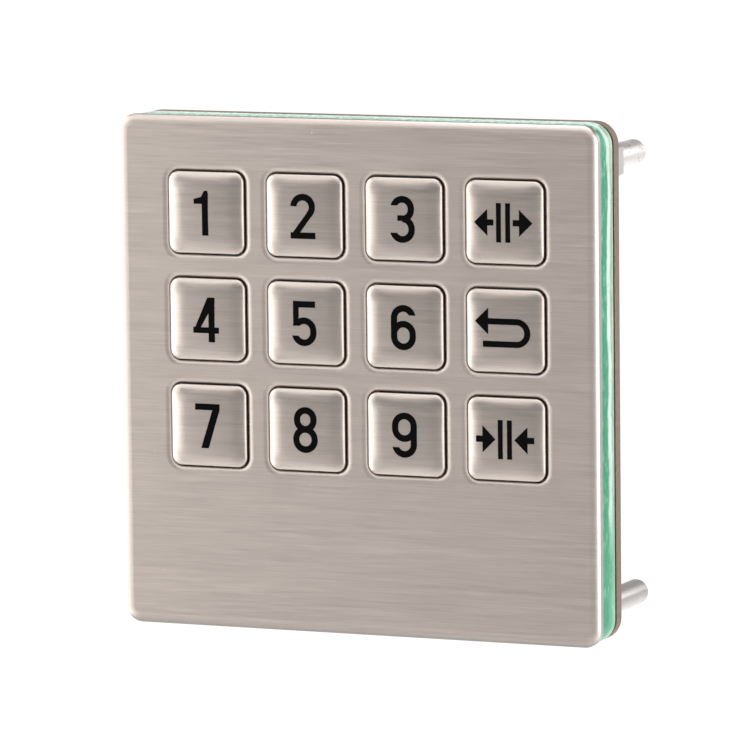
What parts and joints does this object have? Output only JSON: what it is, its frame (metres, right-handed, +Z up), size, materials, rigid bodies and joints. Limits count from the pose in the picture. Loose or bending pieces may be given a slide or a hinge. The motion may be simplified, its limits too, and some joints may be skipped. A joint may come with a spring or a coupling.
{
  "type": "keypad access reader",
  "caption": "Square brushed-steel keypad for an access panel: raised push keys over a blank band, on a layered green, dark and brown body with mounting studs behind.",
  "frame": {"origin": "centre of the stud pattern, in the plane of the upper nuts' rear faces where the carrying panel seats", "axes": "+X to the right seen from the front, +Y back into the panel along the studs, +Z up; the keys face -Y"},
  "size_m": [0.101, 0.0344, 0.101],
  "materials": {
    "face_steel": "fine horizontal brushing, satin",
    "key_steel": "fine horizontal brushing, satin",
    "mark_black": "black engraving filling, matt",
    "green_laminate": "glassy streaked edge, glossy",
    "dark_gasket": "matt",
    "brown_board": "satin",
    "stud_steel": "turned, satin",
    "nut_steel": "zinc plated, satin",
    "screw_steel": "satin",
    "standoff_brass": "turned, satin",
    "board_green": "solder mask, satin",
    "pad_gold": "plated, bright",
    "silicone": "translucent grey silicone, matt",
    "carbon": "matt",
    "chip_black": "moulded, matt",
    "ceramic_tan": "satin",
    "header_cream": "satin"
  },
  "bodies": {
    "housing": {"face_plate": "face_steel", "spacer_frame": "green_laminate", "gasket": "dark_gasket", "back_plate": "brown_board", "mounting_studs": "stud_steel", "stud_nuts": "nut_steel", "back_screws": "screw_steel", "board_standoffs": "standoff_brass", "board_screws": "screw_steel", "circuit_board": "board_green", "contact_pads": "pad_gold", "key_mat": "silicone", "controller_chip": "chip_black", "small_parts": "ceramic_tan", "wire_header": "header_cream", "header_pins": "pad_gold"},
    "cap_1": {"key_1": "key_steel", "mark_1": "mark_black", "pill_1": "carbon"},
    "cap_2": {"key_2": "key_steel", "mark_2": "mark_black", "pill_2": "carbon"},
    "cap_3": {"key_3": "key_steel", "mark_3": "mark_black", "pill_3": "carbon"},
    "cap_open": {"key_open": "key_steel", "mark_open": "mark_black", "pill_open": "carbon"},
    "cap_4": {"key_4": "key_steel", "mark_4": "mark_black", "pill_4": "carbon"},
    "cap_5": {"key_5": "key_steel", "mark_5": "mark_black", "pill_5": "carbon"},
    "cap_6": {"key_6": "key_steel", "mark_6": "mark_black", "pill_6": "carbon"},
    "cap_reenter": {"key_reenter": "key_steel", "mark_reenter": "mark_black", "pill_reenter": "carbon"},
    "cap_7": {"key_7": "key_steel", "mark_7": "mark_black", "pill_7": "carbon"},
    "cap_8": {"key_8": "key_steel", "mark_8": "mark_black", "pill_8": "carbon"},
    "cap_9": {"key_9": "key_steel", "mark_9": "mark_black", "pill_9": "carbon"},
    "cap_close": {"key_close": "key_steel", "mark_close": "mark_black", "pill_close": "carbon"}
  },
  "joints": [
    {"name": "press_1", "type": "slide", "parent": "housing", "child": "cap_1", "axis": [0, 1, 0], "range_m": [0, 0.00045], "stiffness_N_per_m": 2500, "deforming": ["key_mat"]},
    {"name": "press_2", "type": "slide", "parent": "housing", "child": "cap_2", "axis": [0, 1, 0], "range_m": [0, 0.00045], "stiffness_N_per_m": 2500, "deforming": ["key_mat"]},
    {"name": "press_3", "type": "slide", "parent": "housing", "child": "cap_3", "axis": [0, 1, 0], "range_m": [0, 0.00045], "stiffness_N_per_m": 2500, "deforming": ["key_mat"]},
    {"name": "press_open", "type": "slide", "parent": "housing", "child": "cap_open", "axis": [0, 1, 0], "range_m": [0, 0.00045], "stiffness_N_per_m": 2500, "deforming": ["key_mat"]},
    {"name": "press_4", "type": "slide", "parent": "housing", "child": "cap_4", "axis": [0, 1, 0], "range_m": [0, 0.00045], "stiffness_N_per_m": 2500, "deforming": ["key_mat"]},
    {"name": "press_5", "type": "slide", "parent": "housing", "child": "cap_5", "axis": [0, 1, 0], "range_m": [0, 0.00045], "stiffness_N_per_m": 2500, "deforming": ["key_mat"]},
    {"name": "press_6", "type": "slide", "parent": "housing", "child": "cap_6", "axis": [0, 1, 0], "range_m": [0, 0.00045], "stiffness_N_per_m": 2500, "deforming": ["key_mat"]},
    {"name": "press_reenter", "type": "slide", "parent": "housing", "child": "cap_reenter", "axis": [0, 1, 0], "range_m": [0, 0.00045], "stiffness_N_per_m": 2500, "deforming": ["key_mat"]},
    {"name": "press_7", "type": "slide", "parent": "housing", "child": "cap_7", "axis": [0, 1, 0], "range_m": [0, 0.00045], "stiffness_N_per_m": 2500, "deforming": ["key_mat"]},
    {"name": "press_8", "type": "slide", "parent": "housing", "child": "cap_8", "axis": [0, 1, 0], "range_m": [0, 0.00045], "stiffness_N_per_m": 2500, "deforming": ["key_mat"]},
    {"name": "press_9", "type": "slide", "parent": "housing", "child": "cap_9", "axis": [0, 1, 0], "range_m": [0, 0.00045], "stiffness_N_per_m": 2500, "deforming": ["key_mat"]},
    {"name": "press_close", "type": "slide", "parent": "housing", "child": "cap_close", "axis": [0, 1, 0], "range_m": [0, 0.00045], "stiffness_N_per_m": 2500, "deforming": ["key_mat"]}
  ]
}
